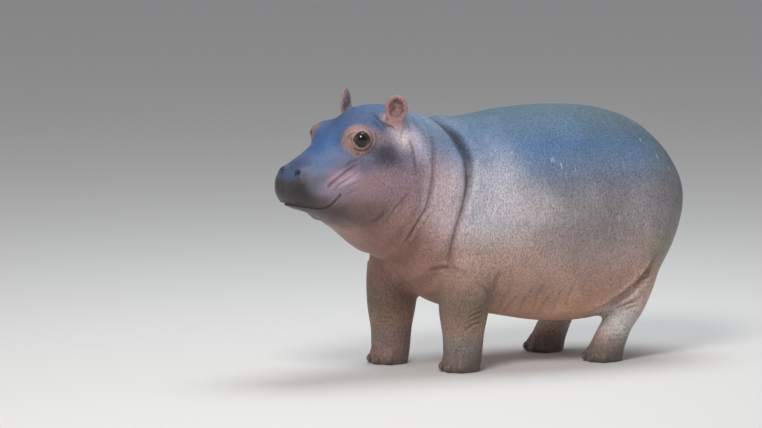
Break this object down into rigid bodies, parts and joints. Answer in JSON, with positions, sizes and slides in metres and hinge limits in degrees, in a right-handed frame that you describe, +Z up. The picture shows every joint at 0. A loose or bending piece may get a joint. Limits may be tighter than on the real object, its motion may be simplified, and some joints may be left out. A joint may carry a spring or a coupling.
{
  "type": "hippopotamus calf",
  "caption": "Common hippopotamus calf standing on four feet with its head turned a little to its left, as a still, life-size model.",
  "frame": {"origin": "on the floor under the soles, midway between the nose and the tail and between the two flanks", "axes": "the calf faces -X, its left side is -Y, and +Z is up from the floor"},
  "size_m": [1.1044, 0.417, 0.6606],
  "materials": {
    "skin": "satin, blue-grey above and pink below",
    "pink_skin": "satin, pink-brown",
    "eyeball": "wet gloss",
    "horn": "dull"
  },
  "bodies": {
    "root": {"front_left_foot": "skin", "front_left_leg": "pink_skin", "front_left_nail_1": "horn", "front_left_nail_2": "horn", "front_left_nail_3": "horn", "front_left_nail_4": "horn", "front_right_foot": "skin", "front_right_leg": "pink_skin", "front_right_nail_1": "horn", "front_right_nail_2": "horn", "front_right_nail_3": "horn", "front_right_nail_4": "horn", "head": "skin", "hind_left_foot": "skin", "hind_left_leg": "pink_skin", "hind_left_nail_1": "horn", "hind_left_nail_2": "horn", "hind_left_nail_3": "horn", "hind_left_nail_4": "horn", "hind_right_foot": "skin", "hind_right_leg": "pink_skin", "hind_right_nail_1": "horn", "hind_right_nail_2": "horn", "hind_right_nail_3": "horn", "hind_right_nail_4": "horn", "left_ear": "pink_skin", "left_eye": "eyeball", "lower_jaw": "skin", "neck": "skin", "right_ear": "pink_skin", "right_eye": "eyeball", "tail": "skin", "trunk": "skin"}
  },
  "joints": []
}
